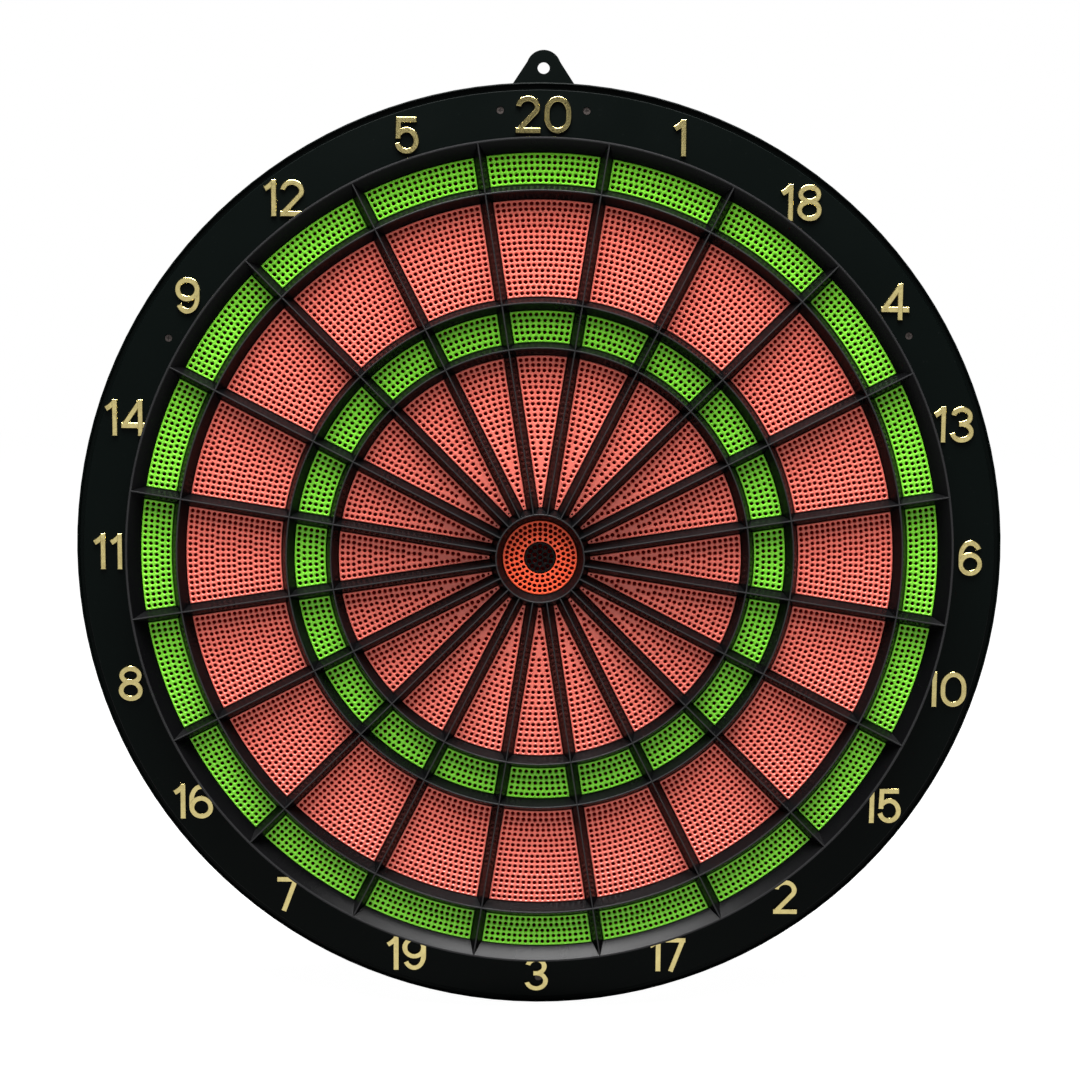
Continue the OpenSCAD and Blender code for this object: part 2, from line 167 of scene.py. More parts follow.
class CasingSettings(bpy.types.PropertyGroup):
    """Colours of the black mouldings."""

    spider: FloatVectorProperty(
        name="Spider", description="Matt plastic of the spider", subtype="COLOR",
        default=(0.002, 0.002, 0.0023), min=0, max=1)
    panel: FloatVectorProperty(
        name="Panel", description="Plastic of the number ring and hanger", subtype="COLOR",
        default=(0.001, 0.0024, 0.002), min=0, max=1)
    cover: FloatVectorProperty(
        name="Cover", description="Plastic of the back cover", subtype="COLOR",
        default=(0.012, 0.012, 0.013), min=0, max=1)


class NumeralSettings(bpy.types.PropertyGroup):
    """Sizes and colour of the numerals."""

    stroke: FloatProperty(
        name="Stroke", description="Width of a numeral's stroke", default=2.75 * MM,
        unit="LENGTH", precision=5)
    relief: FloatProperty(
        name="Relief", description="Height of a numeral above the panel", default=1 * MM,
        unit="LENGTH", precision=5)
    gold: FloatVectorProperty(
        name="Gold", description="Colour of the hot-stamped foil", subtype="COLOR",
        default=(0.80, 0.68, 0.29), min=0, max=1)


class StageSettings(bpy.types.PropertyGroup):
    """Camera, floor and lights."""

    camera_at: FloatVectorProperty(
        name="Camera", description="Where the camera stands", subtype="TRANSLATION",
        unit="LENGTH", default=(-0.00684, -0.9035, 0.08693), precision=5)
    look_at: FloatVectorProperty(
        name="Target", description="The point that the camera looks at", subtype="TRANSLATION",
        unit="LENGTH", default=(0.0, -FACE_Z * MM, 0.0), precision=5)
    roll: FloatProperty(
        name="Roll", description="The camera's turn about its line of sight", subtype="ANGLE",
        default=math.radians(0.491))
    lens: FloatProperty(
        name="Lens", description="Focal length in millimetres", default=58.73)
    shift_y: FloatProperty(
        name="Shift", description="Vertical shift of the picture", default=0.01644, precision=5)
    floor_radius: FloatProperty(
        name="Floor radius", description="Size of the pale floor", default=9.0, unit="LENGTH")
    key_power: FloatProperty(
        name="Key light", description="Power of the softbox above the board", default=39.0)
    side_power: FloatProperty(
        name="Side lights", description="Power of each softbox beside the camera", default=1.1)
    strip_power: FloatProperty(
        name="Overhead strip", description="Power of the strip light straight above", default=52.0)


# ---------------------------------------------------------------- drawing in board space

def polar(r, a):
    return r * math.cos(a), r * math.sin(a)


def circle(centre, r, steps):
    """Points round a circle, counter-clockwise."""
    return [(centre[0] + r * math.cos(a), centre[1] + r * math.sin(a))
            for a in (2 * math.pi * k / steps for k in range(steps))]


def half_angle(r, gap):
    """Half the angle of a cell at radius r, whose sides lie half a gap from the sector's rays."""
    return SECTOR / 2 - math.asin(gap / 2 / r)


def cell_outline(r_in, r_out, gap, middle=TOP):
    """A cell's outline, counter-clockwise: the outer arc, then the inner one."""
    a_out, a_in = half_angle(r_out, gap), half_angle(r_in, gap)
    shares = [2 * k / ARC_STEPS - 1 for k in range(ARC_STEPS + 1)]
    return ([polar(r_out, middle + a_out * s) for s in shares]
            + [polar(r_in, middle - a_in * s) for s in shares])


def at_height(loop, z):
    return [(x, y, z) for x, y in loop]


def place(name, data):
    """A new object in the scene."""
    thing = bpy.data.objects.new(name, data)
    bpy.context.scene.collection.objects.link(thing)
    return thing


class Shape:
    """Collects faces in board space and turns them into one object."""

    def __init__(self):
        self.points = []
        self.faces = []
        self.slots = []

    def add(self, points):
        """Adds points and returns their numbers."""
        first = len(self.points)
        self.points.extend(points)
        return list(range(first, len(self.points)))

    def face(self, numbers, slot=0):
        self.faces.append(numbers)
        self.slots.append(slot)

    def bridge(self, low, high, slot=0, inward=False, closed=True):
        """Quads between two loops of equal length. They face away from the loops' middle, or inward."""
        count = len(low)
        for i in range(count if closed else count - 1):
            j = (i + 1) % count
            quad = [low[i], low[j], high[j], high[i]]
            self.face(quad[::-1] if inward else quad, slot)

    def stack(self, loops, inward=False):
        """Joins loops from the bottom up, and returns their numbers."""
        numbers = [self.add(loop) for loop in loops]
        for low, high in zip(numbers, numbers[1:]):
            self.bridge(low, high, inward=inward)
        return numbers

    def make(self, name, slot_names, smooth_deg=35.0, weld=None):
        """The object in the row frame, shaded smooth up to an angle."""
        mesh = bpy.data.meshes.new(name)
        mesh.from_pydata([(x * MM, -z * MM, y * MM) for x, y, z in self.points], [], self.faces)
        for slot_name in slot_names:
            mesh.materials.append(material_for(slot_name))
        mesh.polygons.foreach_set("material_index", self.slots)
        if weld:
            bm = bmesh.new()
            bm.from_mesh(mesh)
            bmesh.ops.remove_doubles(bm, verts=bm.verts, dist=weld * MM)
            bm.to_mesh(mesh)
            bm.free()
        mesh.polygons.foreach_set("use_smooth", [True] * len(mesh.polygons))
        mesh.set_sharp_from_angle(angle=math.radians(smooth_deg))
        mesh.update()
        return even_shading(place(name, mesh))


def even_shading(thing):
    """Lets large flat faces keep their own normal beside a narrow rounding."""
    weighted = thing.modifiers.new("Even shading", "WEIGHTED_NORMAL")
    weighted.keep_sharp = True
    weighted.weight = 50
    return thing


def turned(thing, name, sector):
    """A copy of a top sector's piece, turned clockwise to another sector."""
    copy = even_shading(place(name, thing.data))
    copy.matrix_world = Matrix.Rotation(SECTOR * sector, 4, "Y")
    return copy


# ---------------------------------------------------------------- shader helpers

class Nodes:
    """Short calls for building a node tree."""

    def __init__(self, tree):
        self.tree = tree

    def add(self, kind, **values):
        node = self.tree.nodes.new(kind)
        for key, value in values.items():
            setattr(node, key, value)
        return node

    def link(self, source, target):
        self.tree.links.new(source, target)

    def math(self, operation, a, b):
        node = self.add("ShaderNodeMath", operation=operation)
        for socket, value in zip(node.inputs, (a, b)):
            self.feed(socket, value)
        return node.outputs[0]

    def feed(self, socket, value):
        """Sets a socket from a number, a colour or another node's output."""
        if isinstance(value, bpy.types.NodeSocket):
            self.link(value, socket)
        else:
            socket.default_value = value

    def ramp(self, factor, low, high, low_value=0.0, high_value=1.0):
        node = self.add("ShaderNodeMapRange")
        for key, value in (("Value", factor), ("From Min", low), ("From Max", high),
                           ("To Min", low_value), ("To Max", high_value)):
            self.feed(node.inputs[key], value)
        return node.outputs["Result"]

    def blend(self, factor, a, b):
        node = self.add("ShaderNodeMix", data_type="RGBA")
        self.feed(node.inputs[0], factor)
        self.feed(node.inputs[6], a)
        self.feed(node.inputs[7], b)
        return node.outputs[2]

    def noise(self, vector, scale, detail=2.0, roughness=0.5):
        node = self.add("ShaderNodeTexNoise")
        self.link(vector, node.inputs["Vector"])
        self.feed(node.inputs["Scale"], scale)
        node.inputs["Detail"].default_value = detail
        node.inputs["Roughness"].default_value = roughness
        return node.outputs["Fac"]

    def object_point(self):
        return self.add("ShaderNodeTexCoord").outputs["Object"]

    def coordinate(self, vector, axis):
        node = self.add("ShaderNodeSeparateXYZ")
        self.link(vector, node.inputs[0])
        return node.outputs[axis]

    def bump(self, height, distance):
        node = self.add("ShaderNodeBump")
        self.feed(node.inputs["Height"], height)
        node.inputs["Distance"].default_value = distance
        return node.outputs["Normal"]

    def surface(self, shader, colour, roughness, normal=None):
        """Leads a colour, a roughness and a normal into a Principled shader."""
        for key, output in (("Base Color", colour), ("Roughness", roughness), ("Normal", normal)):
            if output:
                self.link(output, shader.inputs[key])


def new_group(name, inputs, outputs):
    """An empty shader group with float or colour sockets, and its inner ends."""
    tree = bpy.data.node_groups.new(name, "ShaderNodeTree")
    for label, kind, default in inputs:
        socket = tree.interface.new_socket(label, in_out="INPUT", socket_type=kind)
        socket.default_value = default
    for label, kind in outputs:
        tree.interface.new_socket(label, in_out="OUTPUT", socket_type=kind)
    nodes = Nodes(tree)
    return nodes, nodes.add("NodeGroupInput"), nodes.add("NodeGroupOutput")


def spark_texture_group():
    """The fine spark-eroded texture of moulded plastic: a height, and small pale flecks."""
    nodes, start, end = new_group(
        "Spark texture",
        [("Scale", "NodeSocketFloat", 900.0), ("Coarseness", "NodeSocketFloat", 0.3)],
        [("Height", "NodeSocketFloat"), ("Fleck", "NodeSocketFloat")])
    point = nodes.object_point()
    scale, coarse = start.outputs["Scale"], start.outputs["Coarseness"]
    fine = nodes.noise(point, scale, 3.0, 0.6)
    broad = nodes.noise(point, nodes.math("MULTIPLY", scale, 0.23), 2.0)
    height = nodes.add("ShaderNodeMix", data_type="FLOAT")
    nodes.link(coarse, height.inputs[0])
    nodes.link(fine, height.inputs[2])
    nodes.link(broad, height.inputs[3])
    nodes.link(height.outputs[0], end.inputs["Height"])
    specks = nodes.add("ShaderNodeTexVoronoi", feature="F1")
    nodes.link(point, specks.inputs["Vector"])
    nodes.link(nodes.math("MULTIPLY", scale, 0.3), specks.inputs["Scale"])
    rare = nodes.ramp(nodes.noise(point, nodes.math("MULTIPLY", scale, 0.11), 1.0), 0.62, 0.7)
    dots = nodes.ramp(specks.outputs["Distance"], 0.22, 0.1)
    nodes.link(nodes.math("MULTIPLY", rare, dots), end.inputs["Fleck"])
    return nodes.tree


def colour_drift_group():
    """Slow changes of lightness, as pigment and handling leave them."""
    nodes, start, end = new_group(
        "Colour drift",
        [("Colour", "NodeSocketColor", (1, 1, 1, 1)), ("Amount", "NodeSocketFloat", 0.1),
         ("Scale", "NodeSocketFloat", 12.0)],
        [("Colour", "NodeSocketColor"), ("Drift", "NodeSocketFloat")])
    drift = nodes.noise(nodes.object_point(), start.outputs["Scale"], 3.0, 0.55)
    swing = nodes.math("MULTIPLY", nodes.math("SUBTRACT", drift, 0.5), start.outputs["Amount"])
    shade = nodes.add("ShaderNodeHueSaturation")
    nodes.link(nodes.math("ADD", swing, 1.0), shade.inputs["Value"])
    nodes.link(start.outputs["Colour"], shade.inputs["Color"])
    nodes.link(shade.outputs[0], end.inputs["Colour"])
    nodes.link(drift, end.inputs["Drift"])
    return nodes.tree


def settled_dust_group():
    """A thin film of dust, thickest on surfaces that face upwards."""
    nodes, start, end = new_group(
        "Settled dust",
        [("Scale", "NodeSocketFloat", 60.0), ("Amount", "NodeSocketFloat", 0.2)],
        [("Mask", "NodeSocketFloat")])
    geometry = nodes.add("ShaderNodeNewGeometry")
    upward = nodes.ramp(nodes.coordinate(geometry.outputs["Normal"], "Z"), 0.1, 0.9)
    patches = nodes.ramp(nodes.noise(nodes.object_point(), start.outputs["Scale"], 4.0, 0.65), 0.35, 0.75)
    film = nodes.math("MULTIPLY", upward, patches)
    nodes.link(nodes.math("MULTIPLY", film, start.outputs["Amount"]), end.inputs["Mask"])
    return nodes.tree


GROUP_MAKERS = {
    "Spark texture": spark_texture_group,
    "Colour drift": colour_drift_group,
    "Settled dust": settled_dust_group,
}


def place_group(nodes, name, **values):
    """Puts a shared effect into a material, making its group the first time."""
    if name not in bpy.data.node_groups:
        GROUP_MAKERS[name]()
    node = nodes.add("ShaderNodeGroup")
    node.node_tree = bpy.data.node_groups[name]
    for key, value in values.items():
        nodes.feed(node.inputs[key.replace("_", " ")], value)
    return node


def new_material(name, **constants):
    """A material with one Principled shader, its plain values set on its own sockets."""
    material = bpy.data.materials.new(name)
    material.use_nodes = True
    nodes = Nodes(material.node_tree)
    shader = material.node_tree.nodes["Principled BSDF"]
    for key, value in constants.items():
        shader.inputs[key.replace("_", " ")].default_value = value
    return material, nodes, shader


def solid(colour):
    return (*colour, 1.0)


# ---------------------------------------------------------------- materials

def moulded_plastic(name, colour, roughness, scale, depth, drift=0.1, fleck=0.0, dust=0.0, specular=0.5,
                    painted_highlight_ridge=None):
    """Injection-moulded plastic with its eroded texture, a little drift, flecks, dust and a painted
    highlight along its ridges.
    """
    material, nodes, shader = new_material(name, Specular_IOR_Level=specular)
    texture = place_group(nodes, "Spark texture", Scale=scale, Coarseness=0.35)
    tint = place_group(nodes, "Colour drift", Colour=solid(colour), Amount=drift, Scale=16.0)
    shade = tint.outputs["Colour"]
    if fleck:
        paler = solid([min(1, c * 3 + 0.02) for c in colour])
        shade = nodes.blend(nodes.math("MULTIPLY", texture.outputs["Fleck"], fleck), shade, paler)
    if dust:
        film = place_group(nodes, "Settled dust", Scale=70.0, Amount=dust)
        shade = nodes.blend(film.outputs["Mask"], shade, (0.36, 0.35, 0.34, 1))
    if painted_highlight_ridge:
        # Painted highlight: the top few tenths of a millimetre of the ridges are mixed towards a pale grey,
        # where light catches them.
        inward = nodes.coordinate(nodes.object_point(), "Y")
        ridge_highlight = nodes.ramp(inward, -painted_highlight_ridge, RIDGE_HIGHLIGHT_DEPTH * MM - painted_highlight_ridge, 0.14, 0.0)
        shade = nodes.blend(ridge_highlight, shade, (0.16, 0.16, 0.165, 1))
    rough = nodes.ramp(tint.outputs["Drift"], 0.25, 0.75, roughness - 0.05, roughness + 0.06)
    nodes.surface(shader, shade, rough, nodes.bump(texture.outputs["Height"], depth))
    return material


def segment_plastic(name, colour):
    """Tinted semi-gloss plastic of a scoring segment."""
    return moulded_plastic(name, colour, 0.3, 1400.0, 0.00006, drift=0.12)


def hole_shade(name, colour):
    """The deep walls and floor of a dart hole: painted shade, a dark colour that stands in for the shade
    down the hole.
    """
    material, nodes, shader = new_material(name, Specular_IOR_Level=0.1)
    tint = place_group(nodes, "Colour drift", Colour=solid(colour), Amount=0.6, Scale=300.0)
    nodes.surface(shader, tint.outputs["Colour"], nodes.ramp(tint.outputs["Drift"], 0.2, 0.8, 0.8, 1.0))
    return material


def gold_foil(colour):
    """Hot-stamped foil with a slightly pebbled face, and patches that took it less well."""
    material, nodes, shader = new_material("gold foil", Metallic=1.0)
    point = nodes.object_point()
    pebble = nodes.noise(point, 1500.0, 2.0, 0.55)
    patch = nodes.ramp(nodes.noise(point, 500.0, 3.0, 0.6), 0.35, 0.7)
    tint = place_group(nodes, "Colour drift", Colour=solid(colour), Amount=0.3, Scale=90.0)
    worn = nodes.blend(nodes.math("MULTIPLY", patch, 0.3), tint.outputs["Colour"], (0.42, 0.30, 0.11, 1))
    nodes.surface(shader, worn, nodes.ramp(patch, 0.0, 1.0, 0.13, 0.24), nodes.bump(pebble, 0.00006))
    return material


def brushed_metal(name, colour, roughness):
    """Plated or blackened metal with fine turning marks and dull spots."""
    material, nodes, shader = new_material(name, Metallic=1.0)
    tint = place_group(nodes, "Colour drift", Colour=solid(colour), Amount=0.5, Scale=400.0)
    marks = nodes.noise(nodes.object_point(), 1200.0, 3.0, 0.7)
    rough = nodes.ramp(marks, 0.3, 0.7, roughness - 0.1, roughness + 0.12)
    nodes.surface(shader, tint.outputs["Colour"], rough, nodes.bump(marks, 0.00003))
    return material


def rubber(name, colour, roughness=0.85):
    """Matt rubber or foam with a pored surface."""
    material, nodes, shader = new_material(name, Specular_IOR_Level=0.3)
    point = nodes.object_point()
    pores = nodes.noise(point, 1100.0, 4.0, 0.7)
    tint = place_group(nodes, "Colour drift", Colour=solid(colour), Amount=0.35, Scale=70.0)
    film = place_group(nodes, "Settled dust", Scale=120.0, Amount=0.25)
    dusty = nodes.blend(film.outputs["Mask"], tint.outputs["Colour"], (0.4, 0.39, 0.37, 1))
    rough = nodes.ramp(pores, 0.3, 0.7, roughness - 0.1, roughness + 0.1)
    nodes.surface(shader, dusty, rough, nodes.bump(pores, 0.00018))
    return material


def printed_film():
    """Clear polyester film with printed tracks showing through as fine lines."""
    material, nodes, shader = new_material("film", Specular_IOR_Level=0.6)
    across = nodes.coordinate(nodes.object_point(), "X")
    wave = nodes.math("SINE", nodes.math("MULTIPLY", across, 4200.0), 0.0)
    tracks = nodes.ramp(wave, 0.2, 0.5)
    tint = place_group(nodes, "Colour drift", Colour=(0.68, 0.66, 0.56, 1), Amount=0.2, Scale=40.0)
    printed = nodes.blend(tracks, tint.outputs["Colour"], (0.28, 0.28, 0.27, 1))
    nodes.surface(shader, printed, nodes.ramp(tracks, 0, 1, 0.22, 0.45), nodes.bump(tracks, 0.00002))
    return material


def fibreboard():
    """Pressed wood fibre, brown and matt."""
    material, nodes, shader = new_material("fibreboard", Specular_IOR_Level=0.2)
    point = nodes.object_point()
    fibres = nodes.noise(point, 700.0, 5.0, 0.7)
    tint = place_group(nodes, "Colour drift", Colour=(0.26, 0.16, 0.085, 1), Amount=0.5, Scale=180.0)
    pale = nodes.ramp(fibres, 0.4, 0.7, 0, 0.5)
    brown = nodes.blend(pale, tint.outputs["Colour"], (0.42, 0.30, 0.17, 1))
    nodes.surface(shader, brown, nodes.ramp(fibres, 0.3, 0.7, 0.75, 0.95), nodes.bump(fibres, 0.0001))
    return material


def board_laminate():
    """Green solder mask over copper tracks, with the chips and sockets darker above it."""
    material, nodes, shader = new_material("board laminate", Specular_IOR_Level=0.55)
    point = nodes.object_point()
    tracks = nodes.add("ShaderNodeTexBrick", offset=0.5)
    nodes.link(point, tracks.inputs["Vector"])
    for key, value in (("Scale", 160.0), ("Mortar Size", 0.05), ("Color1", (0.01, 0.10, 0.035, 1)),
                       ("Color2", (0.012, 0.13, 0.045, 1)), ("Mortar", (0.10, 0.30, 0.08, 1))):
        tracks.inputs[key].default_value = value
    depth = nodes.coordinate(point, "Y")
    above = nodes.ramp(depth, -(BOARD_TOP + 0.15) * MM, -(BOARD_TOP + 0.2) * MM)
    below = nodes.ramp(depth, -(BOARD_UNDER - 0.1) * MM, -(BOARD_UNDER - 0.2) * MM)
    parts = nodes.math("MAXIMUM", above, below)
    face = nodes.blend(parts, tracks.outputs["Color"], (0.02, 0.02, 0.022, 1))
    rough = nodes.ramp(nodes.noise(point, 300.0), 0.3, 0.7, 0.28, 0.42)
    nodes.surface(shader, face, rough, nodes.bump(tracks.outputs["Fac"], 0.00003))
    return material


def cell_wrap(box):
    """A plain shrink wrap in two colours, with bare metal at the ends of the cells."""
    low, high = box
    middle, half = (low.x + high.x) / 2, (high.x - low.x) / 2
    material, nodes, shader = new_material("cell wrap", Specular_IOR_Level=0.5)
    along = nodes.math("SUBTRACT", nodes.coordinate(nodes.object_point(), "X"), middle)
    ends = nodes.ramp(nodes.math("ABSOLUTE", along, 0.0), half - 0.0022, half - 0.002)
    band = nodes.ramp(along, half * 0.3, half * 0.3 + 0.0002)
    wrap = nodes.blend(band, (0.02, 0.045, 0.11, 1), (0.50, 0.30, 0.05, 1))
    tint = place_group(nodes, "Colour drift", Colour=wrap, Amount=0.15, Scale=60.0)
    cells = nodes.blend(ends, tint.outputs["Colour"], (0.62, 0.62, 0.6, 1))
    nodes.surface(shader, cells, nodes.ramp(tint.outputs["Drift"], 0.3, 0.7, 0.24, 0.36))
    nodes.link(ends, shader.inputs["Metallic"])
    return material


def all_materials(context):
    """Every material slot of the record, by name."""
    segments, casing = context.scene.dartboard_segments, context.scene.dartboard_casing
    numerals = context.scene.dartboard_numerals
    return {
        "panel_plastic": moulded_plastic("panel plastic", casing.panel, 0.42, 1500.0, 0.00005,
                                         drift=0.25, fleck=0.15, dust=0.002, specular=0.06),
        # The spider's ridge tops carry a painted highlight.
        "spider_plastic": moulded_plastic("spider plastic", casing.spider, 0.28, 2100.0, 0.00004,
                                          drift=0.25, fleck=0.2, dust=0.003, specular=0.09,
                                          painted_highlight_ridge=RIDGE_Z * MM),
        "cover_plastic": moulded_plastic("cover plastic", casing.cover, 0.55, 900.0, 0.0002,
                                         drift=0.25, fleck=0.15, dust=0.03),
        "knob_plastic": moulded_plastic("knob plastic", (0.45, 0.45, 0.47), 0.4, 1500.0, 0.00005),
        "speaker_shell": moulded_plastic("speaker shell", (0.03, 0.03, 0.034), 0.6, 1200.0, 0.0001),
        "green_plastic": segment_plastic("green plastic", segments.green),
        "salmon_plastic": segment_plastic("salmon plastic", segments.salmon),
        "bull_red": segment_plastic("bull red plastic", segments.bull_red),
        "bull_black": moulded_plastic("bull black plastic", (0.003, 0.0026, 0.0026), 0.36, 1400.0,
                                      0.00006, specular=0.12),
        # The hole colours are painted shade: dark red colours on the walls below the waist and on the
        # floors of the holes.
        "green_hole": hole_shade("green hole", (0.2, 0.014, 0.01)),
        "salmon_hole": hole_shade("salmon hole", (0.5, 0.016, 0.014)),
        "red_hole": hole_shade("red hole", (0.3, 0.010, 0.008)),
        "black_hole": hole_shade("black hole", (0.4, 0.012, 0.012)),
        "gold_foil": gold_foil(numerals.gold),
        "screw_steel": brushed_metal("screw steel", (0.10, 0.085, 0.08), 0.5),
        "tin": brushed_metal("tin", (0.72, 0.72, 0.7), 0.3),
        "pad_rubber": rubber("pad rubber", (0.022, 0.022, 0.023)),
        "mat_rubber": rubber("mat rubber", (0.6, 0.6, 0.58), 0.7),
        "film": printed_film(),
        "fibreboard": fibreboard(),
        "board_laminate": board_laminate(),
        "cell_wrap": cell_wrap(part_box("batteries")),
    }


def material_for(slot_name):
    """The material that stands for a slot, once the finishes are made."""
    return bpy.data.materials[slot_name.replace("_", " ")]


# ---------------------------------------------------------------- segments

class Drill:
    """Cuts the countersunk dart holes of one segment."""

    STEPS = 12

    def __init__(self, sizes):
        self.hole_r = sizes.hole_radius / MM
        self.dimple_r = sizes.dimple_radius / MM
        self.dimple = sizes.dimple_depth / MM
        self.depth = sizes.hole_depth / MM
        self.row_pitch = sizes.row_pitch / MM
        self.margin = sizes.margin / MM
        self.edge = sizes.edge_round / MM

    def cell_holes(self, ring):
        """Middles and countersink radii of a cell's holes, in rows from the outer arc inwards."""
        r_in, r_out, pitch = ring
        reach = r_out - r_in - 2 * self.margin
        rows = round(reach / self.row_pitch) + 1
        for row in range(rows):
            r = r_out - self.margin - reach * row / (rows - 1)
            side = half_angle(r, SECTOR_GAP)
            room = r * math.sin(side) - self.edge - 0.1
            half = side - self.margin / r
            width = 2 * half * r
            count = max(1, round(width / pitch) + 1)
            if count > 1 and width / (count - 1) < 2 * self.dimple_r + 0.02:
                count -= 1
            for k in range(count):
                share = 1 - 2 * k / (count - 1) if count > 1 else 0
                yield polar(r, TOP + half * share), min(self.dimple_r, room)

    def ring_holes(self, rings):
        """Holes on whole circles, given as (radius, number of holes, countersink radius)."""
        for r, count, dimple_r in rings:
            for k in range(count):
                yield polar(r, TOP + 2 * math.pi * k / count), dimple_r

    def top(self, shape, outline, holes, inner=()):
        """The flat top inside an outline already added to shape, with each hole down to its floor."""
        loops = [outline] + ([inner] if inner else [])
        for centre, dimple_r in holes:
            hole_r = min(self.hole_r, dimple_r - 0.12)
            rim = shape.add(at_height(circle(centre, dimple_r, self.STEPS), FACE_Z))
            throat = shape.add(at_height(circle(centre, hole_r, self.STEPS), FACE_Z - self.dimple))
            waist = shape.add(at_height(circle(centre, hole_r, self.STEPS), FACE_Z - self.dimple - 0.4))
            floor = shape.add(at_height(circle(centre, hole_r - 0.1, self.STEPS), FACE_Z - self.depth))
            shape.bridge(throat, rim, 0, inward=True)
            shape.bridge(waist, throat, 0, inward=True)
            # Slot 1, the walls below the waist and the floor, takes the hole's painted shade.
            shape.bridge(floor, waist, 1, inward=True)
            shape.face(floor, 1)
            loops.append(rim)
        self.fill(shape, loops)

    def fill(self, shape, loops):
        """Triangles over everything inside the first loop and outside the others."""
        numbers = [n for loop in loops for n in loop]
        owner = [k for k, loop in enumerate(loops) for n in loop]
        flat = [Vector(shape.points[n][:2]) for n in numbers]
        edges, first = [], 0
        for loop in loops:
            edges += [(first + i, first + (i + 1) % len(loop)) for i in range(len(loop))]
            first += len(loop)
        inside_constraints = 1
        _, _, triangles, origins, _, _ = delaunay_2d_cdt(flat, edges, [], inside_constraints, 1e-5)
        for triangle in triangles:
            corners = [origins[v][0] for v in triangle]
            owners = {owner[c] for c in corners}
            if len(owners) > 1 or owners == {0}:
                shape.face([numbers[c] for c in corners], 0)


def plug_sides(shape, outline, e):
    """A plug's flange, sides and rounded top edge, where outline draws the plug grown by some mm."""
    steps = ((FLANGE_W, SEGMENT_Z), (FLANGE_W, FLANGE_TOP), (0, FLANGE_TOP), (0, FACE_Z - e),
             (-HALFWAY * e, FACE_Z - HALFWAY * e), (-e, FACE_Z))
    return shape.stack([at_height(outline(grow), z) for grow, z in steps])


def add_cell(shape, drill, ring):
    """One perforated plug with its flange and rounded top edge."""
    r_in, r_out, _ = ring

    def outline(grow):
        return cell_outline(r_in - grow, r_out + grow, SECTOR_GAP - 2 * grow)

    loops = plug_sides(shape, outline, drill.edge)
    shape.face(loops[0][::-1], 0)
    drill.top(shape, loops[-1], list(drill.cell_holes(ring)))


def make_cell_pair(context, name, rings, plastic, hole):
    """The two like segments of a sector, drawn for the top sector."""
    shape = Shape()
    drill = Drill(context.scene.dartboard_segments)
    for ring in rings:
        add_cell(shape, drill, ring)
    return shape.make(name, (plastic, hole))


def set_pair_around(thing, prefix):
    """Puts a copy of a pair into every sector, each on its own body."""
    for sector, value in enumerate(SECTORS):
        node = f"{prefix}_{value:02d}"
        piece = turned(thing, f"{node}_face", sector)
        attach(piece, node)
        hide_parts(node)
    bpy.data.objects.remove(thing)


def make_outer_bull(context):
    """The red ring of the bull, stepped underneath to clear the inner bull's flange."""
    drill = Drill(context.scene.dartboard_segments)
    shape = Shape()
    e, steps = drill.edge, 72
    bore_r = BULL_IN_R + PLAY
    outside = plug_sides(shape, lambda grow: circle((0, 0), BULL_OUT_R + grow, steps), e)
    bore = ((BULL_STEP_R, SEGMENT_Z), (BULL_STEP_R, BULL_STEP_Z), (bore_r, BULL_STEP_Z),
            (bore_r, FACE_Z - e), (bore_r + HALFWAY * e, FACE_Z - HALFWAY * e), (bore_r + e, FACE_Z))
    inside = shape.stack([at_height(circle((0, 0), r, steps), z) for r, z in bore], inward=True)
    shape.bridge(inside[0], outside[0], 0)
    rings = ((16.6, 40, 1.2), (14.15, 34, 1.2), (11.7, 27, 1.2), (9.3, 21, 0.98))
    drill.top(shape, outside[-1], list(drill.ring_holes(rings)), inside[-1])
    return shape.make("outer_bull_face", ("bull_red", "red_hole"))


def make_inner_bull(context):
    """The black disc in the middle."""
    drill = Drill(context.scene.dartboard_segments)
    shape = Shape()
    loops = plug_sides(shape, lambda grow: circle((0, 0), BULL_IN_R + grow, 60), drill.edge)
    shape.face(loops[0][::-1], 0)
    rings = ((0.0, 1, 1.3), (2.95, 6, 1.3), (5.7, 13, 1.25))
    drill.top(shape, loops[-1], list(drill.ring_holes(rings)))
    return shape.make("inner_bull_face", ("bull_black", "black_hole"))


# ---------------------------------------------------------------- spider

def rib_opening(ring, ridge_in, ridge_out, step, middle):
    """The opening of one cell at one step up the ribs' sides."""
    z, share, bezel_r = step
    wall_in, wall_out = ring[0] - PLAY, ring[1] + PLAY
    r_in = ridge_in + (wall_in - ridge_in) * share
    r_out = bezel_r if ring is DOUBLE else ridge_out + (wall_out - ridge_out) * share
    return at_height(cell_outline(r_in, r_out, (SECTOR_GAP - 2 * PLAY) * share, middle), z)


def add_spider_cell(shape, ring, ridge_in, ridge_out, middle):
    """The walls and slopes round one cell, and the ribs' undersides."""
    loops = shape.stack([rib_opening(ring, ridge_in, ridge_out, step, middle) for step in RIB_STEPS],
                        inward=True)
    under_out = BEZEL_POST_R if ring is DOUBLE else ridge_out
    under = shape.add(at_height(cell_outline(ridge_in, under_out, 0, middle), RIB_BASE))
    shape.bridge(loops[0], under)


def add_turned_band(shape, profile, inward):
    """A surface of revolution through (radius, height) pairs, stepped like the cells' arcs."""
    steps = ARC_STEPS * len(SECTORS)
    turn = TOP - SECTOR / 2
    loops = []
    for r, z in profile:
        loops.append([(*polar(r, turn + 2 * math.pi * k / steps), z) for k in range(steps)])
    shape.stack(loops, inward=inward)


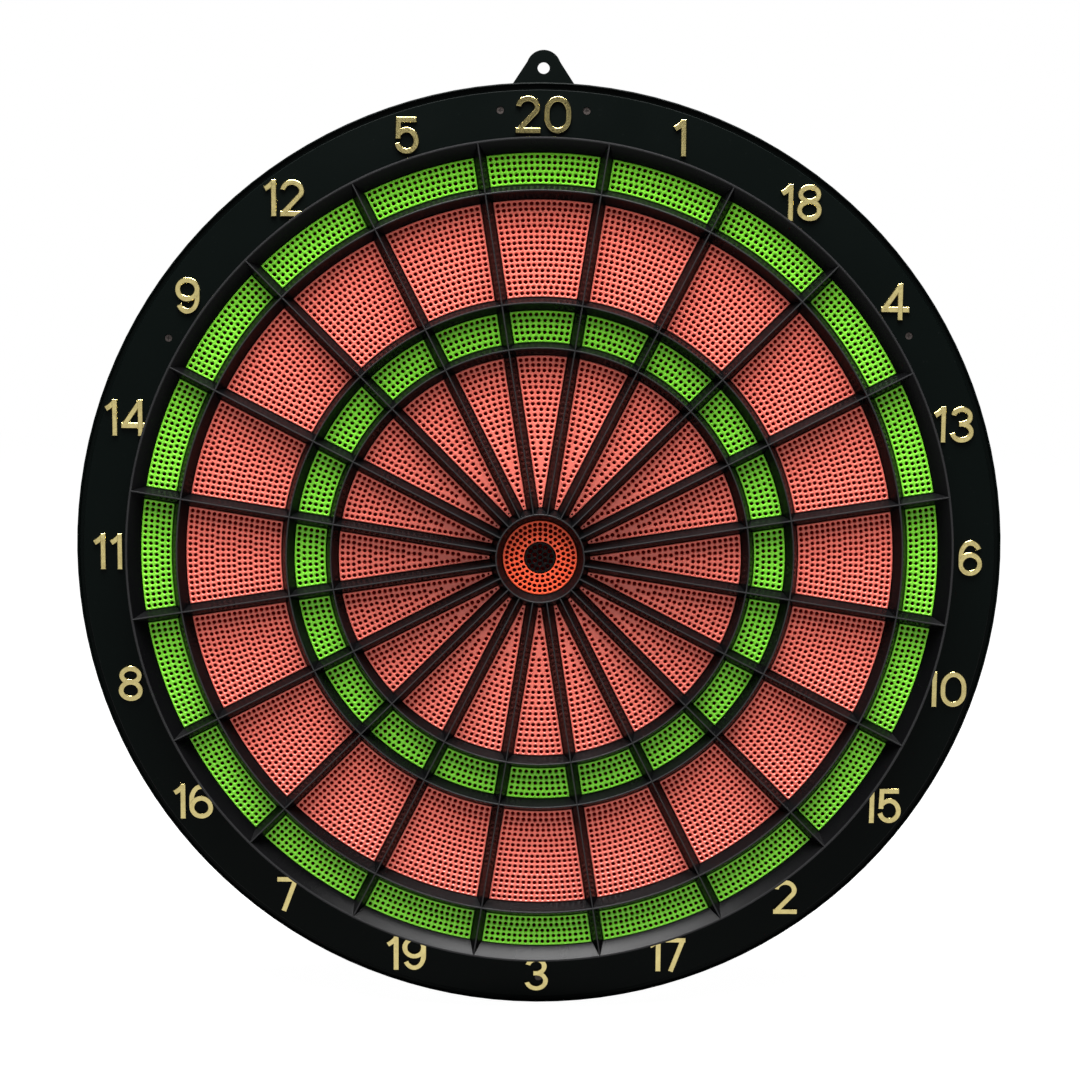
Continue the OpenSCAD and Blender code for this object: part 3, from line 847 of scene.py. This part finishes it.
def make_spider():
    """The black grid between the segments, from the hub to the bezel."""
    shape = Shape()
    rings = (INNER_SINGLE, TRIPLE, OUTER_SINGLE, DOUBLE)
    for sector in range(len(SECTORS)):
        for ring, ridge_in, ridge_out in zip(rings, RIDGES, RIDGES[1:]):
            add_spider_cell(shape, ring, ridge_in, ridge_out, TOP - SECTOR * sector)
    wall_r = BULL_OUT_R + PLAY
    hub_run = HUB_RIDGE - wall_r
    hub = [(HUB_RIDGE, RIB_BASE)] + [(HUB_RIDGE - hub_run * share, z) for z, share, _ in RIB_STEPS]
    add_turned_band(shape, hub, inward=True)
    add_turned_band(shape, [(RIDGES[-1], RIDGE_Z)] + list(BEZEL_SIDE), inward=True)
    return shape.make("spider_grid", ("spider_plastic",), smooth_deg=24.0, weld=0.002)


# ---------------------------------------------------------------- numerals

def bow(centre, a, b, start, end, steps=26):
    """Points along an elliptic arc, from one angle to another in degrees."""
    angles = [math.radians(start + (end - start) * k / steps) for k in range(steps + 1)]
    return [(centre[0] + a * math.cos(t), centre[1] + b * math.sin(t)) for t in angles]


def digit_strokes(digit, s):
    """A digit's width and the middle lines of its strokes. s is half a stroke's width."""
    top, low = NUMERAL_H - s, s
    if digit == 0:
        w = 13.4
        side, reach = w / 2 - s, 6.4
        ring = (bow((w / 2, top - reach), side, reach, 0, 180)
                + bow((w / 2, low + reach), side, reach, 180, 360))
        return w, [(ring, True)]
    if digit == 1:
        w = 6.7
        flag = [(0.9, top - 3.3), (2.7, top - 2.2), (4.1, top - 1.0), (w - s, top + 0.3)]
        return w, [([(w - s, 0), (w - s, NUMERAL_H)], False), (flag, False)]
    if digit == 2:
        w = 12.4
        head = bow((w / 2 - 0.1, top - 4.0), w / 2 - s - 0.2, 4.0, 176, -36)
        head.append((s + 0.35, s + 0.5))
        return w, [(head, False), ([(0, low), (w, low)], False)]
    if digit == 3:
        w, waist = 12.4, 9.4
        upper = bow((w / 2 - 0.1, (top + waist) / 2), w / 2 - s - 0.6, (top - waist) / 2, 172, -90)
        lower = bow((w / 2, (low + waist) / 2), w / 2 - s, (waist - low) / 2, 90, -172)
        middle = w / 2 - 1.6
        return w, [(upper + [(middle, waist)], False), ([(middle, waist)] + lower, False)]
    if digit == 4:
        w = 14.4
        post, bar = w - 4.7, 5.2
        return w, [([(post, 0), (post, NUMERAL_H)], False),
                   ([(post - 0.3, top), (s + 0.1, bar)], False), ([(0, bar), (w, bar)], False)]
    if digit == 5:
        w = 12.0
        back = s + 0.3
        bowl = bow((w / 2 - 0.1, low + 5.2), w / 2 - s + 0.1, 5.2, 141, -168)
        return w, [([(back, 7.4), (back + 0.3, NUMERAL_H)], False),
                   ([(back - s + 0.3, top), (w - 1.2, top)], False), (bowl, False)]
    if digit == 6:
        w = 12.4
        return w, six_strokes(w, s)
    if digit == 7:
        w = 11.0
        return w, [([(0, top), (w, top)], False), ([(w - s - 0.1, top), (3.3, 0)], False)]
    if digit == 8:
        w, waist = 12.5, 9.8
        upper = bow((w / 2, (top + waist) / 2), w / 2 - s - 0.4, (top - waist) / 2, 0, 360)[:-1]
        lower = bow((w / 2, (low + waist) / 2), w / 2 - s, (waist - low) / 2, 0, 360)[:-1]
        return w, [(upper, True), (lower, True)]
    w = 12.4
    turned_six = [([(w - x, NUMERAL_H - y) for x, y in line], closed) for line, closed in six_strokes(w, s)]
    return w, turned_six


def six_strokes(w, s):
    """A bowl, and the long stroke that runs up its left side and over."""
    a, b = w / 2 - s, 4.65
    bowl = bow((w / 2, s + b), a, b, 0, 360)[:-1]
    back_y = 10.4
    rise = NUMERAL_H - s - back_y
    back = [(s, s + b)] + bow((w / 2, back_y), a, rise, 180, 28)
    return [(bowl, True), (back, False)]


def stroke_section(half, height, edge):
    """Half-open cross-section of a stroke: (offset, height) from the right foot over to the left one."""
    rounding = [(half - edge + edge * math.cos(t), height - edge + edge * math.sin(t))
                for t in (math.pi / 2 * k / 4 for k in range(5))]
    right = [(half, -0.3)] + rounding
    return right + [(0.0, height - 0.05)] + [(-x, z) for x, z in reversed(right)]


def add_stroke(shape, line, closed, half, height, edge, origin):
    """Sweeps the cross-section along a middle line, with rounded ends where it is open."""
    points = [Vector((x + origin[0], y + origin[1])) for x, y in line]
    section = stroke_section(half, height, edge)
    count = len(points)
    stations = []
    for i, point in enumerate(points):
        before = points[i - 1] if closed or i else None
        after = points[(i + 1) % count] if closed or i < count - 1 else None
        into = (point - before).normalized() if before else (after - point).normalized()
        out = (after - point).normalized() if after else into
        tangent = (into + out).normalized()
        stretch = 1 / max(0.5, tangent.dot(out))
        stations.append((point, Vector((tangent.y, -tangent.x)), stretch, height))
    if not closed:
        stations = rounded_ends(stations, height, edge)
    loops = []
    for point, across, stretch, cap in stations:
        loops.append(shape.add([
            (point.x + across.x * x * stretch, point.y + across.y * x * stretch, PANEL_Z + min(z, cap))
            for x, z in section]))
    pairs = list(zip(loops, loops[1:])) + ([(loops[-1], loops[0])] if closed else [])
    for a, b in pairs:
        shape.bridge(a, b, 0, inward=True, closed=False)
    if not closed:
        shape.face(loops[0], 0)
        shape.face(loops[-1][::-1], 0)


def rounded_ends(stations, height, edge):
    """Adds lower stations at both ends, so that the top edge is rounded there too."""
    steps = [(edge * (1 - math.cos(t)), height - edge + edge * math.sin(t))
             for t in (math.pi / 2 * k / 3 for k in range(4))]
    (p0, n0, s0, _), (p1, n1, s1, _) = stations[0], stations[-1]
    start = Vector((-n0.y, n0.x))
    finish = Vector((-n1.y, n1.x))
    opening = [(p0 + start * move, n0, s0, cap) for move, cap in steps]
    closing = [(p1 - finish * move, n1, s1, cap) for move, cap in reversed(steps)]
    return opening + stations[1:-1] + closing


def make_numerals(context):
    """All twenty numerals, upright round the panel."""
    sizes = context.scene.dartboard_numerals
    half, height = sizes.stroke / MM / 2, sizes.relief / MM
    shape = Shape()
    for sector, value in enumerate(SECTORS):
        digits = [digit_strokes(int(c), half) for c in str(value)]
        width = sum(w for w, _ in digits) + DIGIT_GAP * (len(digits) - 1)
        x, y = polar(NUMERAL_R, TOP - SECTOR * sector)
        left = x - width / 2
        for w, strokes in digits:
            for k, (line, closed) in enumerate(strokes):
                step_down = 0.015 * k
                add_stroke(shape, line, closed, half, height - step_down, 0.42, (left, y - NUMERAL_H / 2))
            left += w + DIGIT_GAP
    return shape.make("numerals_foil", ("gold_foil",), smooth_deg=50.0)


# ---------------------------------------------------------------- carried-over nodes

# Each CAD node that stays, the slot that it is painted with, and the width of its rounded edges in mm.
KEPT_NODES = {
    "number_ring": ("panel_plastic", 0.0),
    "hanger_plate": ("panel_plastic", 0.35),
    "back_cover": ("cover_plastic", 0.25),
    "battery_door": ("cover_plastic", 0.25),
    "power_switch": ("knob_plastic", 0.15),
    "wall_pads": ("pad_rubber", 0.4),
    "front_screws": ("screw_steel", 0.12),
    "back_screws": ("screw_steel", 0.2),
    "silicone_mat": ("mat_rubber", 0.2),
    "membrane_switch": ("film", 0.0),
    "ribbon_cable": ("film", 0.0),
    "backing_plate": ("fibreboard", 0.2),
    "circuit_board": ("board_laminate", 0.1),
    "speaker": ("speaker_shell", 0.2),
    "batteries": ("cell_wrap", 0.3),
    "battery_contacts": ("tin", 0.05),
}


def dress_node(name, slot_name, edge):
    """Gives a CAD node its finish and rounded edges, and leaves its mesh as packed."""
    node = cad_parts[name]
    material = material_for(slot_name)
    for holder in node.material_slots:
        holder.link = "OBJECT"
        holder.material = material
    if edge:
        bevel = node.modifiers.new("Rounded edges", "BEVEL")
        bevel.width = edge * MM
        bevel.segments = 3
        bevel.limit_method = "ANGLE"
        bevel.angle_limit = math.radians(35)
        bevel.harden_normals = True
    return node


# ---------------------------------------------------------------- stage

def aim(thing, at, target, roll=0.0):
    """Stands something at a point, looking at another, turned about the line between them."""
    forward = (Vector(target) - Vector(at)).normalized()
    right = forward.cross(Vector((0, 0, 1))).normalized()
    up = right.cross(forward)
    right, up = (right * math.cos(roll) + up * math.sin(roll),
                 up * math.cos(roll) - right * math.sin(roll))
    turn = Matrix((right, up, -forward)).transposed().to_4x4()
    thing.matrix_world = Matrix.Translation(at) @ turn


def make_camera(stage):
    lens = bpy.data.cameras.new("Camera")
    lens.lens = stage.lens
    lens.sensor_width = 36.0
    lens.shift_y = stage.shift_y
    lens.clip_start = 0.01
    camera = place("Camera", lens)
    aim(camera, stage.camera_at, stage.look_at, stage.roll)
    bpy.context.scene.camera = camera


def make_softbox(name, at, size, power):
    light = bpy.data.lights.new(name, "AREA")
    light.shape = "RECTANGLE"
    light.size, light.size_y = size
    light.energy = power
    aim(place(name, light), at, (0.0, 0.0, 0.0))


def make_floor(stage):
    """A pale round floor just under the board's lowest point."""
    mesh = bpy.data.meshes.new("floor")
    bm = bmesh.new()
    bmesh.ops.create_circle(bm, cap_ends=True, radius=stage.floor_radius, segments=96)
    bm.to_mesh(mesh)
    bm.free()
    material, nodes, shader = new_material("pale floor", Roughness=0.6)
    shader.inputs["Emission Color"].default_value = (1, 1, 1, 1)
    seen = nodes.add("ShaderNodeLightPath").outputs["Is Camera Ray"]
    nodes.link(nodes.math("MULTIPLY", seen, 0.985), shader.inputs["Emission Strength"])
    tint = place_group(nodes, "Colour drift", Colour=(0.28, 0.28, 0.28, 1), Amount=0.01, Scale=2.0)
    nodes.link(tint.outputs["Colour"], shader.inputs["Base Color"])
    mesh.materials.append(material)
    floor = place("floor", mesh)
    floor.location.z = CAD_BOX[0].z - 0.3 * MM
    floor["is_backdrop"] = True


def make_world():
    """White where it is seen directly, and a dim even fill as light."""
    world = bpy.data.worlds.new("Studio")
    world.use_nodes = True
    nodes = Nodes(world.node_tree)
    world.node_tree.nodes.clear()
    seen = nodes.add("ShaderNodeBackground")
    seen.inputs["Color"].default_value = (1, 1, 1, 1)
    fill = nodes.add("ShaderNodeBackground")
    fill.inputs["Color"].default_value = (1, 1, 1, 1)
    fill.inputs["Strength"].default_value = 0.03
    mix = nodes.add("ShaderNodeMixShader")
    nodes.link(nodes.add("ShaderNodeLightPath").outputs["Is Camera Ray"], mix.inputs[0])
    nodes.link(fill.outputs[0], mix.inputs[1])
    nodes.link(seen.outputs[0], mix.inputs[2])
    nodes.link(mix.outputs[0], nodes.add("ShaderNodeOutputWorld").inputs[0])
    bpy.context.scene.world = world


# ---------------------------------------------------------------- operators

class DARTBOARD_OT_finishes(bpy.types.Operator):
    """Makes every material and paints the CAD nodes that stay"""

    bl_idname = "dartboard.finishes"
    bl_label = "Finishes and casing"

    def execute(self, context):
        for slot_name, material in all_materials(context).items():
            material.name = slot_name.replace("_", " ")
        for name, (slot_name, edge) in KEPT_NODES.items():
            dress_node(name, slot_name, edge)
        return {"FINISHED"}


class DARTBOARD_OT_singles(bpy.types.Operator):
    """Builds the salmon single segments of all sectors"""

    bl_idname = "dartboard.singles"
    bl_label = "Single segments"

    def execute(self, context):
        pair = make_cell_pair(context, "single_pair", (INNER_SINGLE, OUTER_SINGLE),
                              "salmon_plastic", "salmon_hole")
        set_pair_around(pair, "single")
        return {"FINISHED"}


class DARTBOARD_OT_doubles_triples(bpy.types.Operator):
    """Builds the green double and triple segments of all sectors"""

    bl_idname = "dartboard.doubles_triples"
    bl_label = "Doubles and triples"

    def execute(self, context):
        pair = make_cell_pair(context, "scoring_pair", (TRIPLE, DOUBLE), "green_plastic", "green_hole")
        set_pair_around(pair, "double_triple")
        return {"FINISHED"}


class DARTBOARD_OT_bulls(bpy.types.Operator):
    """Builds the red outer bull and the black inner bull"""

    bl_idname = "dartboard.bulls"
    bl_label = "Bulls"

    def execute(self, context):
        for maker, node, slot_name in ((make_outer_bull, "outer_bull", "bull_red"),
                                       (make_inner_bull, "inner_bull", "bull_black")):
            piece = maker(context)
            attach(piece, node)
            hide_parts(node)
        return {"FINISHED"}


class DARTBOARD_OT_spider(bpy.types.Operator):
    """Builds the spider with its ridges and bezel"""

    bl_idname = "dartboard.spider"
    bl_label = "Spider"

    def execute(self, context):
        spider = make_spider()
        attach(spider, "casing")
        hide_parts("spider")
        return {"FINISHED"}


class DARTBOARD_OT_numerals(bpy.types.Operator):
    """Builds the gold numerals round the panel"""

    bl_idname = "dartboard.numerals"
    bl_label = "Numerals"

    def execute(self, context):
        numerals = make_numerals(context)
        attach(numerals, "casing")
        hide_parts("numerals")
        return {"FINISHED"}


class DARTBOARD_OT_stage(bpy.types.Operator):
    """Sets up the floor, the lights, the world and the camera"""

    bl_idname = "dartboard.stage"
    bl_label = "Stage"

    def execute(self, context):
        stage = context.scene.dartboard_stage
        make_camera(stage)
        make_floor(stage)
        make_world()
        make_softbox("Key softbox", (-0.1, -0.82, 1.62), (1.3, 0.6), stage.key_power)
        for side in (-1, 1):
            make_softbox("Side softbox", (side * 0.44, -1.5, 0.14), (0.64, 0.76), stage.side_power)
        make_softbox("Overhead strip", (0.0, -0.3, 1.3), (1.3, 0.3), stage.strip_power)
        context.scene.view_settings.view_transform = "Standard"
        return {"FINISHED"}


OPERATORS = (
    DARTBOARD_OT_finishes, DARTBOARD_OT_singles, DARTBOARD_OT_doubles_triples, DARTBOARD_OT_bulls,
    DARTBOARD_OT_spider, DARTBOARD_OT_numerals, DARTBOARD_OT_stage,
)


class DARTBOARD_PT_panel(bpy.types.Panel):
    """Lists the dartboard's settings and build steps"""

    bl_label = "Dartboard"
    bl_space_type = "VIEW_3D"
    bl_region_type = "UI"
    bl_category = "Dartboard"

    def draw(self, context):
        for label, settings in SETTINGS.items():
            box = self.layout.box()
            box.label(text=settings.__doc__)
            for key in settings.__annotations__:
                box.prop(getattr(context.scene, label), key)
        for operator in OPERATORS:
            self.layout.operator(operator.bl_idname)


SETTINGS = {
    "dartboard_segments": SegmentSettings,
    "dartboard_casing": CasingSettings,
    "dartboard_numerals": NumeralSettings,
    "dartboard_stage": StageSettings,
}


def register():
    for cls in (*SETTINGS.values(), *OPERATORS, DARTBOARD_PT_panel):
        bpy.utils.register_class(cls)
    for label, settings in SETTINGS.items():
        setattr(bpy.types.Scene, label, PointerProperty(type=settings))


def unregister():
    for label in SETTINGS:
        delattr(bpy.types.Scene, label)
    for cls in reversed((*SETTINGS.values(), *OPERATORS, DARTBOARD_PT_panel)):
        bpy.utils.unregister_class(cls)


def main():
    register()
    bpy.ops.dartboard.finishes()
    bpy.ops.dartboard.singles()
    bpy.ops.dartboard.doubles_triples()
    bpy.ops.dartboard.bulls()
    bpy.ops.dartboard.spider()
    bpy.ops.dartboard.numerals()
    bpy.ops.dartboard.stage()
    boxes = {"cad": CAD_BOX, "visual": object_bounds()}
    {key: [list(corner) for corner in box] for key, box in boxes.items()}


if __name__ == "__main__":
    main()
